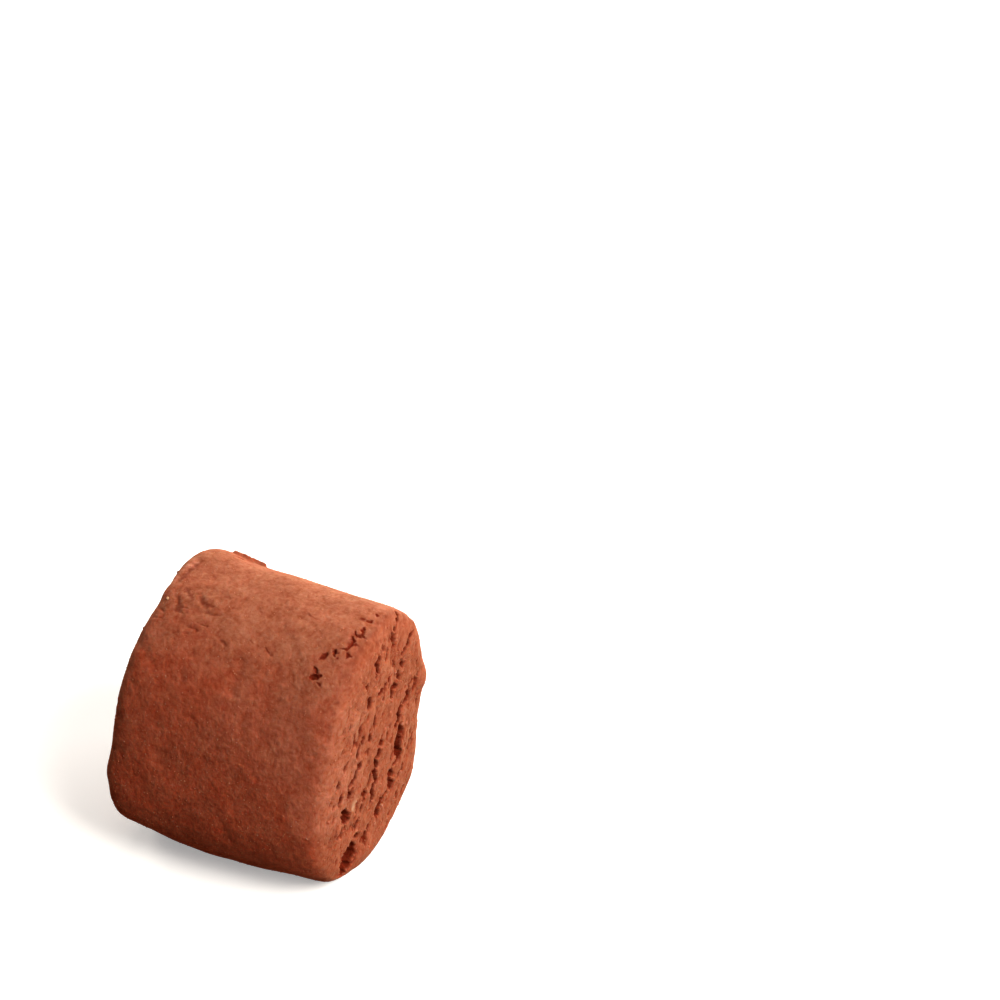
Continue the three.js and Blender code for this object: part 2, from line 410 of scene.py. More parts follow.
# How much each mask shows in the paste.
PATCH_SHARE = 0.3
DUST_AND_LIGHT_SHIFT = -0.15
PALE_AND_LIT_SHARE = 0.4
LUMP_TINT = 0.65
GRAIN_TINT = 0.46
HEIGHT_TINT = 0.50
TINT_SHIFT = -0.30
FLECK_SHARE = 0.16
NUT_SHARE = 0.75
HAIRLINE_SHARE = 0.3
HAIRLINE_BUMP = -0.4
# Hairline cracks: the size of their noise, their width against it, the size of the noise that
# breaks them off, and between which of its values.
HAIRLINE_SIZE = 0.62 * MM
HAIRLINE_WIDTH = 0.035
HAIRLINE_BREAK_SIZE = 1.5 * MM
HAIRLINE_BREAKS = (0.46, 0.58)
# Between which values of its mask a hollow goes from the paste's colour to the dark colour of its
# painted shade.
HOLLOW_SHADE_EDGES = (0.1, 1.0)
# How rough the paste is, moist and dry, and how far its grain stands up, smooth and torn.
PASTE_ROUGHNESS = (0.78, 0.95)
GRAIN_RISE = (0.07 * MM, 0.12 * MM)
# The powdery sheen, which is gone at this mask of a hollow.
SHEEN = 0.10
SHEEN_HOLLOW = 0.5
SHEEN_TINT = (1.0, 0.75, 0.42)
# How much light goes into the paste, and how far for red, green and blue.
LIGHT_SHARE = 0.7
LIGHT_REACH = (1.0, 0.35, 0.18)
# How the grain darkens and lightens a crumb.
CRUMB_SHADES = (0.85, 1.12)

# ---- Crumbs

# How flat a crumb is each way, at least and at most, how far it tilts, and how far it sinks in
# as a share of its radius.
CRUMB_FLAT = ((0.75, 0.75, 0.55), (1.3, 1.3, 0.9))
CRUMB_TILT = 0.3
CRUMB_SINK = -0.35
# The size of the lumps in a crumb and their height, against its radius.
CRUMB_LUMP_SIZE = 1.3
CRUMB_LUMP_HEIGHT = 2.0
# Crumbs get fewer with the depth of a hollow, and none lie past this.
CRUMB_HOLLOW = 0.3

# ---- The camera, which stands off in front of the cut end's side and looks down

AIM = Vector((-0.754, 0.517, 12.249)) * MM
CAMERA_TURN = math.radians(26.32)
CAMERA_RISE = math.radians(42.0)
CAMERA_REACH = 325.27 * MM
LENS = 120.0
SENSOR = 36.0
IMAGE_SIDE = 1000
# The place in the picture, in pixels across and down, where the aim point shows.
AIM_PIXEL = (266, 718)

# ---- The lights and the floor

LIT_POINT = (0, 0, 12 * MM)
FLOOR_REACH = 3.0
# The floor's faint specks: how many, between which values of their noise, their colour, and how
# much of it shows.
SPECK_SCALE = 40.0
SPECK_EDGES = (0.3, 0.7)
SPECK_GREY = (0.6, 0.6, 0.6)
SPECK_SHARE = 0.03
# What the floor throws back of the light that it shows, and its own glow for the camera.
FLOOR_BOUNCE = (0.20, 0.12, 0.08)
FLOOR_GLOW = 0.35
WARM_WHITE = (1.0, 0.96, 0.90)
WARMER_WHITE = (1.0, 0.93, 0.84)


class Lamp(NamedTuple):
    """A square soft light, by its place and its width in metres and its colour."""

    name: str
    place: tuple
    width: float
    tint: tuple


LAMPS = (
    Lamp("key", (0.231, -0.053, 0.258), 0.2, WARM_WHITE),
    Lamp("rim", (0.02, 0.49, 0.10), 0.2, WARMER_WHITE),
    Lamp("top", (0.14, 0.28, 0.39), 0.3, WARM_WHITE),
    Lamp("fill", (-0.39, 0.23, 0.21), 0.3, WARMER_WHITE),
)


class RollSettings(bpy.types.PropertyGroup):
    """Heights of what shapes the roll's skin and ends."""

    swell: FloatProperty(
        name="Swells", description="Height of the broad swells left by rolling",
        default=0.10 * MM, min=0, precision=6, unit="LENGTH",
    )
    lump: FloatProperty(
        name="Lumps", description="Height of the small lumps in the skin",
        default=0.05 * MM, min=0, precision=6, unit="LENGTH",
    )
    tear: FloatProperty(
        name="Tears", description="Height of the torn texture of the ends and of the torn skin",
        default=0.12 * MM, min=0, precision=6, unit="LENGTH",
    )
    crack_share: FloatProperty(
        name="Crack depth", description="Depth of the cracks, as a share of their usual depth",
        default=1.0, min=0, max=2, subtype="FACTOR",
    )
    nick_count: IntProperty(
        name="Nicks", description="How many small nicks each end has", default=46, min=0, max=200,
    )
    seed: IntProperty(name="Seed", description="Which set of nicks is drawn", default=7)


class CrumbSettings(bpy.types.PropertyGroup):
    """Numbers and sizes of the loose grains and the nut specks."""

    grains: FloatProperty(
        name="Cocoa grains", description="Cocoa grains on each square millimetre",
        default=2.2, min=0, max=2.7,
    )
    grain_size: FloatProperty(
        name="Grain size", description="Radius of a middling cocoa grain",
        default=0.055 * MM, min=0, precision=6, unit="LENGTH",
    )
    crumbs: FloatProperty(
        name="Paste crumbs", description="Crumbs of paste on each square millimetre of the ends",
        default=0.8, min=0, max=2,
    )
    crumb_size: FloatProperty(
        name="Crumb size", description="Radius of a middling crumb of paste",
        default=0.12 * MM, min=0, precision=6, unit="LENGTH",
    )
    nuts: FloatProperty(
        name="Nut specks", description="Nut specks on each square millimetre",
        default=0.004, min=0, max=1,
    )
    nut_size: FloatProperty(
        name="Speck size", description="Radius of a middling nut speck",
        default=0.12 * MM, min=0, precision=6, unit="LENGTH",
    )


class ColourSettings(bpy.types.PropertyGroup):
    """Colours of the paste and the stage."""

    skin: FloatVectorProperty(
        name="Skin", description="Moist red-brown of the skin", subtype="COLOR",
        default=(0.300, 0.042, 0.0135), min=0, max=1,
    )
    # Besides dust and dry patches, the bloom also serves as painted light: the paler top and the
    # duller lit back.
    bloom: FloatVectorProperty(
        name="Bloom", description="Duller brown where dry powder lies", subtype="COLOR",
        default=(0.275, 0.0745, 0.0345), min=0, max=1,
    )
    cut: FloatVectorProperty(
        name="Cut", description="Freshly cut paste", subtype="COLOR",
        default=(0.283, 0.0625, 0.0262), min=0, max=1,
    )
    # Painted shade: the dark colour that cracks, holes, folds and ridges go to.
    crack_shade: FloatVectorProperty(
        name="Deep", description="Paste at the bottom of the cracks", subtype="COLOR",
        default=(0.115, 0.010, 0.0022), min=0, max=1,
    )
    # In the paste the powder's colour also paints the pale patches, which are partly painted light
    # and a painted highlight.
    powder: FloatVectorProperty(
        name="Powder", description="Palest of the dry cocoa grains and crumbs", subtype="COLOR",
        default=(0.42, 0.13, 0.07), min=0, max=1,
    )
    nut: FloatVectorProperty(
        name="Nut", description="Roasted nut", subtype="COLOR",
        default=(0.55, 0.27, 0.15), min=0, max=1,
    )
    floor: FloatVectorProperty(
        name="Floor", description="Pale floor", subtype="COLOR",
        default=(0.86, 0.85, 0.84), min=0, max=1,
    )


class StageSettings(bpy.types.PropertyGroup):
    """Strengths of the studio's lights."""

    key_power: FloatProperty(
        name="Key light", description="Power of the soft light over the cut end",
        default=2.05, min=0, unit="POWER",
    )
    rim_power: FloatProperty(
        name="Rim light", description="Power of the low light behind the roll",
        default=2.5, min=0, unit="POWER",
    )
    top_power: FloatProperty(
        name="Top light", description="Power of the soft light over the roll's back",
        default=1.3, min=0, unit="POWER",
    )
    fill_power: FloatProperty(
        name="Fill light", description="Power of the soft light on the left end",
        default=1.3, min=0, unit="POWER",
    )
    sky: FloatProperty(
        name="Sky", description="Strength of the even light from all round", default=0.01, min=0,
    )


# ---- Shapes


def ease(low, high, value):
    """Goes smoothly from 0 at low to 1 at high."""
    share = np.clip((value - low) / (high - low), 0, 1)
    return share * share * (3 - 2 * share)


def ripple(points, size, shift):
    """Smooth noise from about -1 to 1 at points, with lumps of a size given in millimetres."""
    offset = Vector((shift, -shift, 0.5 * shift))
    return np.array([noise.noise(Vector(place) + offset) for place in points / size])


def block_grid(cells):
    """The corners of a block's cells, from -1 to 1 each way, and the cells' four-sided faces."""
    steps = np.meshgrid(*(np.arange(count + 1) for count in cells), indexing="ij")
    corners = np.stack(steps, axis=-1)
    outside = ((corners == 0) | (corners == np.array(cells))).any(axis=-1)
    index = np.full(outside.shape, -1)
    index[outside] = np.arange(outside.sum())
    faces = []
    for axis in range(3):
        for end in (0, -1):
            side = np.take(index, end, axis=axis)
            ring = (side[:-1, :-1], side[1:, :-1], side[1:, 1:], side[:-1, 1:])
            loops = np.stack(ring, axis=-1).reshape(-1, 4)
            inward = (end == 0) != (axis == 1)
            faces.append(loops[:, ::-1] if inward else loops)
    return 2 * corners[outside] / np.array(cells) - 1, np.concatenate(faces)


def surface_finder(node):
    """A search tree of a CAD solid's surface, from a merged copy of its loose triangles."""
    solid = bmesh.new()
    solid.from_mesh(node.data)
    bmesh.ops.remove_doubles(solid, verts=solid.verts, dist=MERGE_DISTANCE)
    tree = BVHTree.FromBMesh(solid)
    solid.free()
    return tree


def struck(tree, start, direction):
    """The first point of the surface that a ray meets, in millimetres, or None."""
    point = tree.ray_cast(Vector(start) * MM, Vector(direction))[0]
    return None if point is None else np.array(point) / MM


def smoothed(points, faces):
    """The points with facets smoothed out, by moves in and out by turns, so the size stays."""
    pairs = np.concatenate([np.stack((faces[:, i], faces[:, i - 1]), axis=1) for i in range(4)])
    count = np.bincount(pairs[:, 0], minlength=len(points))[:, None]
    for share in (SMOOTH_IN, SMOOTH_OUT) * SMOOTH_PASSES:
        total = np.stack([
            np.bincount(pairs[:, 0], weights=points[pairs[:, 1], axis], minlength=len(points))
            for axis in range(3)
        ], axis=1)
        points = points + share * (total / count - points)
    return points


def laid_path(tree, mark):
    """A mark's points on the surface, in millimetres."""
    if mark.side == "top":
        path = [struck(tree, (x, y, OUTSIDE), (0, 0, -1)) for x, y in mark.path]
    else:
        way = 1 if mark.side == "cut" else -1
        path = [struck(tree, (way * OUTSIDE, y, z), (-way, 0, 0)) for y, z in mark.path]
    if any(point is None for point in path):
        raise RuntimeError(f"the mark at {mark.path[0]} on the {mark.side} misses the roll")
    return np.array(path)


def gap_to_path(points, path):
    """Each point's distance from a path, and how far along it that is, from 0 to 1."""
    lengths = np.linalg.norm(np.diff(path, axis=0), axis=1)
    starts = np.concatenate(([0], np.cumsum(lengths)))
    gaps = np.full(len(points), np.inf)
    along = np.zeros(len(points))
    for i, length in enumerate(lengths):
        step = path[i + 1] - path[i]
        share = np.clip((points - path[i]) @ step / length**2, 0, 1)
        gap = np.linalg.norm(points - path[i] - share[:, None] * step, axis=1)
        nearer = gap < gaps
        gaps[nearer] = gap[nearer]
        along[nearer] = (starts[i] + share[nearer] * length) / starts[-1]
    return gaps, along


def near_regions(points, regions):
    """How far inside any of some round places each point is, from 0 to 1."""
    inside = np.zeros(len(points))
    for region in regions:
        away = np.linalg.norm(points - np.array(region.middle), axis=1) / region.reach
        inside = np.maximum(inside, np.exp(-away**4))
    return inside


def is_flat(tree, way, y, z, reach):
    """True if an end is flat all round a place, which is so away from its rim."""
    places = ((y, z), (y - reach, z), (y + reach, z), (y, z - reach), (y, z + reach))
    found = [struck(tree, (way * OUTSIDE, *place), (-way, 0, 0)) for place in places]
    if any(point is None for point in found):
        return False
    return np.ptp([point[0] for point in found]) < FLAT_SHARE * reach


def nicks(tree, side, settings):
    """Small cracks, drawn at random, that follow the lean of the paste's layers on an end."""
    way = 1 if side == "cut" else -1
    draw = random.Random(settings.seed + way)
    found = []
    while len(found) < settings.nick_count:
        y = draw.uniform(*NICK_ACROSS)
        z = draw.uniform(*NICK_UP)
        lean = draw.gauss(0, NICK_LEAN)
        length = draw.uniform(*NICK_LENGTH)
        wide = draw.uniform(*NICK_WIDTH)
        rise = -draw.uniform(*NICK_DEPTH)
        step = np.array((LAYER_LEAN[0] + lean, LAYER_LEAN[1])) * length / 2
        middle = np.array((y, z))
        bend = np.array((draw.uniform(-NICK_BEND, NICK_BEND), 0))
        if not is_flat(tree, way, y, z, NICK_ROOM):
            continue
        path = (middle - step, middle + bend, middle + step)
        mark = Mark(side, tuple(tuple(place) for place in path), wide, rise)
        found.append((mark, laid_path(tree, mark)))
    return found


def roll_mesh(node, marks, tree):
    """The roll's skin as fine cells, finer on the ends and torn skin and finest round the marks."""
    low, high = (np.array(corner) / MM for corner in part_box(node))
    middle = (low + high) / 2
    places, faces = block_grid(BLOCK_CELLS)
    rays = places * (high - low) / 2
    points = np.array([struck(tree, middle, ray) for ray in rays])
    points = smoothed(points, faces)
    mesh = bmesh.new()
    corners = [mesh.verts.new(point) for point in points]
    for face in faces:
        mesh.faces.new([corners[i] for i in face])
    mesh.normal_update()
    middles = np.array([face.calc_center_median() for face in mesh.faces])
    wrinkled = near_regions(middles, TORN_SKIN) > WRINKLED_SHARE
    split_faces(mesh, [
        face for face, chosen in zip(mesh.faces, wrinkled)
        if chosen or abs(face.normal.x) > END_FACING
    ])
    for margin in (FINE_MARGIN, 0, 0):
        split_near(mesh, marks, margin)
    return mesh


def split_faces(mesh, faces):
    """Splits faces in four."""
    edges = {edge for face in faces for edge in face.edges}
    bmesh.ops.subdivide_edges(mesh, edges=list(edges), cuts=1, use_grid_fill=True)


def split_near(mesh, marks, margin):
    """Splits the faces that are too wide for a mark and lie on it, or this near to it."""
    faces = list(mesh.faces)
    middles = np.array([face.calc_center_median() for face in faces])
    widths = np.sqrt([face.calc_area() for face in faces])
    near = np.zeros(len(faces), bool)
    for mark, path in marks:
        steep = abs(mark.rise) / (mark.wide / 2)
        finest = min(FINE_SHARE * mark.wide / math.sqrt(steep), FINE_CELL)
        gaps, _ = gap_to_path(middles, path)
        near |= (gaps < mark.wide / 2 + margin) & (widths > SPLIT_OVER * finest)
    split_faces(mesh, [face for face, chosen in zip(faces, near) if chosen])


def marks_rise(points, marks):
    """How far the cracks, and apart from them the ridges, raise each point, in millimetres."""
    wobble = sum(
        share * np.stack([ripple(points, size, 10 * axis + shift) for axis in range(3)], axis=1)
        for size, shift, share in WAVER_NOISES
    )
    ragged = ripple(points, *RAGGED_PATTERN)
    crack = np.zeros(len(points))
    ridge = np.zeros(len(points))
    for number, (mark, path) in enumerate(marks):
        reach = mark.wide + MARK_MARGIN
        lowest = path.min(axis=0) - reach
        highest = path.max(axis=0) + reach
        chosen = ((points > lowest) & (points < highest)).all(axis=1)
        if not chosen.any():
            continue
        waver = WAVER + WAVER_BY_WIDTH * min(mark.wide, 1)
        gaps, along = gap_to_path((points + waver * wobble)[chosen], path)
        length = np.linalg.norm(np.diff(path, axis=0), axis=1).sum()
        taper = 1 - np.abs(2 * along - 1) ** TAPER_POWER
        beat = np.array([noise.noise(Vector((a * length * BEATS, number, 0))) for a in along])
        fray = FRAY * min(mark.wide / 2 / abs(mark.rise), 1)
        uneven = 1 + WIDTH_BEAT * beat + fray * ragged[chosen]
        half = mark.wide / 2 * (WIDTH_AT_ENDS + WIDTH_ADDED * taper) * uneven
        square = 2 + 2 * min(abs(mark.rise) / STEEPEST_DEPTH, 1)
        deepest = mark.rise * (DEPTH_AT_ENDS + DEPTH_ADDED * taper) * (1 + DEPTH_BEAT * beat)
        rise = deepest * np.exp(-(gaps / half) ** square)
        if mark.rise < 0:
            crack[chosen] = np.minimum(crack[chosen], rise)
        else:
            ridge[chosen] = np.maximum(ridge[chosen], rise)
    return crack, ridge


def from_rim(points, along):
    """How far each point of an end is from the skin round it. Along is its normal's way along X."""
    skin = points[np.abs(along) < SKIN_SLOPE]
    tree = KDTree(len(skin))
    for number, point in enumerate(skin):
        tree.insert(point, number)
    tree.balance()
    away = np.zeros(len(points))
    for number in np.flatnonzero(np.abs(along) >= SKIN_SLOPE):
        away[number] = tree.find(points[number])[2]
    return away


def drawn_together(points):
    """The points moved together along the paste's layers, so that noise at them is stretched."""
    lean = np.array(LAYER_LEAN) / np.hypot(*LAYER_LEAN)
    run = points[:, 1] * lean[0] + points[:, 2] * lean[1]
    drawn = points.copy()
    drawn[:, 1] -= STRETCH * run * lean[0]
    drawn[:, 2] -= STRETCH * run * lean[1]
    return drawn


def dust_and_painted_light(points, normals):
    """How much dust and painted light lie at each point: the paler bloom on what faces up is partly a
    painted highlight, and on what faces back it dulls the rim light.
    """
    upward = normals[:, 2] + DUST_AND_LIGHT_UNEVEN * ripple(points, *DUST_AND_LIGHT_PATTERN)
    upward += DUST_AND_LIGHT_ALONG * points[:, 0]
    dust = sum(share * ease(low, high, upward) for low, high, share in DUST_AND_LIGHT_SLOPES)
    return np.maximum(dust, BACK_DUST_AND_LIGHT * ease(*BACK_SLOPES, normals[:, 1]))


def painted_rim_shade(normals):
    """How much painted shade darkens the rim over the cut end at each point, where it faces the
    light.
    """
    turned = ease(*RIM_SHADE_SLOPES, normals[:, 0])
    return 4 * turned * (1 - turned) * ease(*RIM_SHADE_UP, normals[:, 2])


def freshness(points, torn):
    """How freshly cut the paste of an end is at each point."""
    cut_end = CUT_FRESH + CUT_FRESHER * ease(*CUT_HEIGHTS, points[:, 2])
    return np.where(points[:, 0] > 0, cut_end, LEFT_FRESH + LEFT_FRESHER * torn)


def paleness_and_painted_light(points):
    """How pale the surface is at each point: drier paste and painted light round the cut rim, and a
    painted highlight on the left end's lip.
    """
    pale = np.zeros(len(points))
    for region, share in PALE_AND_LIT_PATCHES:
        pale = np.maximum(pale, share * near_regions(points, (region,)))
    return pale


def normals_of(mesh):
    """The normals at the mesh's points as they are now."""
    mesh.normal_update()
    return np.array([vertex.normal for vertex in mesh.verts])


def move_points(mesh, points, scale=1.0):
    """Puts the mesh's points in new places."""
    for vertex, point in zip(mesh.verts, points):
        vertex.co = Vector(point) * scale


def finish_relief(mesh, marks, settings):
    """Raises and lowers the mesh's points along their normals, and notes each one's looks."""
    points = np.array([vertex.co for vertex in mesh.verts])
    normals = normals_of(mesh)
    cut = ease(*END_SLOPES, np.abs(normals[:, 0]))
    inside = ease(*SMOOTH_RIM, from_rim(points, normals[:, 0]))
    torn = cut * (TORN_AT_RIM + TORN_INSIDE * inside)
    wrinkled = near_regions(points, TORN_SKIN) * (1 - cut)
    drawn = drawn_together(points)

    rise = settings.swell / MM * ripple(points, *SWELL_PATTERN)
    for region, height in SWELLS:
        away = np.linalg.norm(points - np.array(region.middle), axis=1) / region.reach
        rise += height * np.exp(-away**2)
    lumps = ripple(points, *LUMP_PATTERN)
    rise += settings.lump / MM * lumps * (1 + torn)
    pits = np.maximum(ripple(points, *PIT_PATTERN) - PIT_EDGE, 0)
    rise -= PIT_DEPTH * pits * (1 - torn)
    tears = ripple(drawn, *TEAR_PATTERN)
    broad_tears = ripple(drawn, *BROAD_TEAR_PATTERN)
    rise += settings.tear / MM * torn * (FINE_TEARS * tears + BROAD_TEARS * broad_tears)
    holes = np.maximum(ripple(drawn, *HOLE_PATTERN) - HOLE_EDGE, 0)
    rise -= HOLE_DEPTH * holes * torn
    creases = np.abs(ripple(points * np.array(FOLD_STRETCH), *FOLD_PATTERN))
    folds = np.maximum(0, 1 - creases / FOLD_WIDTH)
    folds *= ease(*FOLD_BREAKS, ripple(points, *FOLD_PLACES)) * wrinkled
    rise += wrinkled * WRINKLE_HEIGHT * ripple(points, *WRINKLE_PATTERN) - FOLD_DEPTH * folds
    crack, ridge = marks_rise(points, marks)
    crack *= settings.crack_share
    rise += crack + ridge

    # Painted shade: how much darker the colour goes in the cracks, holes and folds and on the ridges.
    dark = -crack / (DARK_DEPTH + DARK_DEPTH_ADDED * cut)
    dark = dark + HOLE_DARK * holes * torn + FOLD_DARK * folds + RIDGE_DARK * ridge
    hollow = np.clip(dark, 0, 1)
    # The height tints the paste: low places darker as painted shade, high ones paler as a painted
    # highlight.
    torn_height = TEAR_HEIGHT * tears + BROAD_TEAR_HEIGHT * broad_tears
    height = MIDDLE_HEIGHT + LUMP_HEIGHT * lumps * (1 - torn) + torn * torn_height
    nut_shift = NUT_EDGE * ripple(points, *NUT_EDGE_PATTERN)[:, None]
    # Among these looks, the masks of dust, paleness, the rim over the cut end and the hollows also
    # carry painted light and shade: a paler top, light round the cut rim and on the left lip, and
    # shade on that rim and in the hollows.
    looks = {
        "cut": cut * freshness(points, torn),
        "torn": torn,
        "hollow": hollow,
        "height": height - WRINKLE_DROP * wrinkled,
        "dust": dust_and_painted_light(points, normals),
        "pale": paleness_and_painted_light(points),
        "nutty": near_regions(points + nut_shift, NUT_PATCHES),
        "pressed": painted_rim_shade(normals),
    }

    points += normals * rise[:, None]
    move_points(mesh, points)
    normals = normals_of(mesh)
    crumbling = CRUMBLE * ripple(points, *CRUMBLE_PATTERN)
    crumbling += FINE_CRUMBLE * ripple(points, *FINE_CRUMBLE_PATTERN)
    points += normals * (crumbling * np.maximum(END_CRUMBLE * torn, hollow))[:, None]
    points[:, 2] = np.maximum(points[:, 2], 0)
    for name, values in looks.items():
        layer = mesh.verts.layers.float.new(name)
        for vertex, value in zip(mesh.verts, values):
            vertex[layer] = value
    move_points(mesh, points, MM)
    bmesh.ops.triangulate(mesh, faces=mesh.faces, quad_method="SHORT_EDGE", ngon_method="BEAUTY")


# ---- Nodes and materials


def feed(tree, node, inputs):
    """Sets a node's inputs to values, or links them to other nodes' outputs."""
    for name, value in inputs.items():
        if isinstance(value, bpy.types.NodeSocket):
            tree.links.new(value, node.inputs[name])
        else:
            node.inputs[name].default_value = value


def add_node(tree, kind, settings=None, inputs=None):
    """A node with its settings and its inputs."""
    node = tree.nodes.new(kind)
    for name, value in (settings or {}).items():
        setattr(node, name, value)
    feed(tree, node, inputs or {})
    return node


def new_group(name, kind, inputs, outputs):
    """A node group with named sockets, and its input and output nodes."""
    tree = bpy.data.node_groups.new(name, kind)
    for label, socket, default in inputs:
        made = tree.interface.new_socket(label, in_out="INPUT", socket_type=socket)
        if default is not None:
            made.default_value = default
    for label, socket in outputs:
        tree.interface.new_socket(label, in_out="OUTPUT", socket_type=socket)
    return tree, tree.nodes.new("NodeGroupInput"), tree.nodes.new("NodeGroupOutput")


def math_node(tree, operation, first, second, third=None):
    """The output of a sum, product or the like of values and outputs."""
    inputs = {0: first, 1: second}
    if third is not None:
        inputs[2] = third
    return add_node(tree, "ShaderNodeMath", {"operation": operation}, inputs).outputs[0]


def ranged(tree, value, low, high, to_low=0.0, to_high=1.0):
    """The output of a value's range turned into another range, and kept in it."""
    inputs = {"Value": value, "From Min": low, "From Max": high, "To Min": to_low, "To Max": to_high}
    return add_node(tree, "ShaderNodeMapRange", {"clamp": True}, inputs).outputs["Result"]


def mixed(tree, factor, first, second, blend="MIX"):
    """The output of a mix of two colours."""
    settings = {"data_type": "RGBA", "blend_type": blend, "clamp_factor": True}
    return add_node(tree, "ShaderNodeMix", settings, {0: factor, 6: first, 7: second}).outputs[2]


def attribute(tree, name):
    """The output of a value that the mesh holds at its points."""
    settings = {"attribute_type": "GEOMETRY", "attribute_name": name}
    return add_node(tree, "ShaderNodeAttribute", settings).outputs["Fac"]


def cocoa_grain_group():
    """Masks of dry patches, grain and pale flecks in the paste, and the height of its grain."""
    tree, given, made = new_group(
        "cocoa_grain", "ShaderNodeTree",
        (
            ("Vector", "NodeSocketVector", None),
            ("Patch Size", "NodeSocketFloat", 3.0 * MM),
            ("Lump Size", "NodeSocketFloat", 1.1 * MM),
            ("Grain Size", "NodeSocketFloat", 0.45 * MM),
        ),
        (
            ("Patches", "NodeSocketFloat"),
            ("Lumps", "NodeSocketFloat"),
            ("Grain", "NodeSocketFloat"),
            ("Flecks", "NodeSocketFloat"),
            ("Height", "NodeSocketFloat"),
        ),
    )
    place = add_node(tree, "ShaderNodeVectorMath", {"operation": "MULTIPLY"}, {
        0: given.outputs["Vector"], 1: ROLLED_STRETCH,
    }).outputs[0]
    patches = noise_texture(tree, place, given.outputs["Patch Size"], 3.0)
    lumps = noise_texture(tree, place, given.outputs["Lump Size"], 1.0)
    grain = noise_texture(tree, place, given.outputs["Grain Size"], 2.0)
    cell_size = math_node(tree, "MULTIPLY", given.outputs["Grain Size"], FLECK_CELL)
    cells = add_node(tree, "ShaderNodeTexVoronoi", inputs={
        "Vector": place, "Scale": math_node(tree, "DIVIDE", 1.0, cell_size),
    })
    chance = add_node(tree, "ShaderNodeSeparateColor", inputs={
        "Color": cells.outputs["Color"],
    }).outputs["Red"]
    few = ranged(tree, chance, *FLECK_CHOICE)
    fleck = ranged(tree, cells.outputs["Distance"], *FLECK_EDGES)
    feed(tree, made, {
        "Patches": ranged(tree, patches, *PATCH_EDGES),
        "Lumps": ranged(tree, lumps, *GRAIN_EDGES),
        "Grain": ranged(tree, grain, *GRAIN_EDGES),
        "Flecks": math_node(tree, "MULTIPLY", fleck, few),
        "Height": math_node(tree, "MULTIPLY_ADD", lumps, LUMP_SHARE, grain),
    })
    return tree


def noise_texture(tree, place, size, detail):
    """The output of even noise with lumps of a size."""
    return add_node(tree, "ShaderNodeTexNoise", inputs={
        "Vector": place, "Scale": math_node(tree, "DIVIDE", 1.0, size),
        "Detail": detail, "Roughness": NOISE_ROUGHNESS,
    }).outputs["Fac"]


def new_material(name):
    """A material with its shader, its tree and the object's coordinates."""
    material = bpy.data.materials.new(name)
    material.use_nodes = True
    tree = material.node_tree
    shader = tree.nodes["Principled BSDF"]
    place = add_node(tree, "ShaderNodeTexCoord").outputs["Object"]
    return material, tree, shader, place


def with_grain(tree, place, group, patch_size, grain_size):
    """The cocoa grain group placed in a material."""
    return add_node(tree, "ShaderNodeGroup", {"node_tree": group}, {
        "Vector": place, "Patch Size": patch_size, "Lump Size": LUMPS_BY_GRAIN * grain_size,
        "Grain Size": grain_size,
    })


def colour(value):
    """A colour with its alpha."""
    return (*value, 1.0)


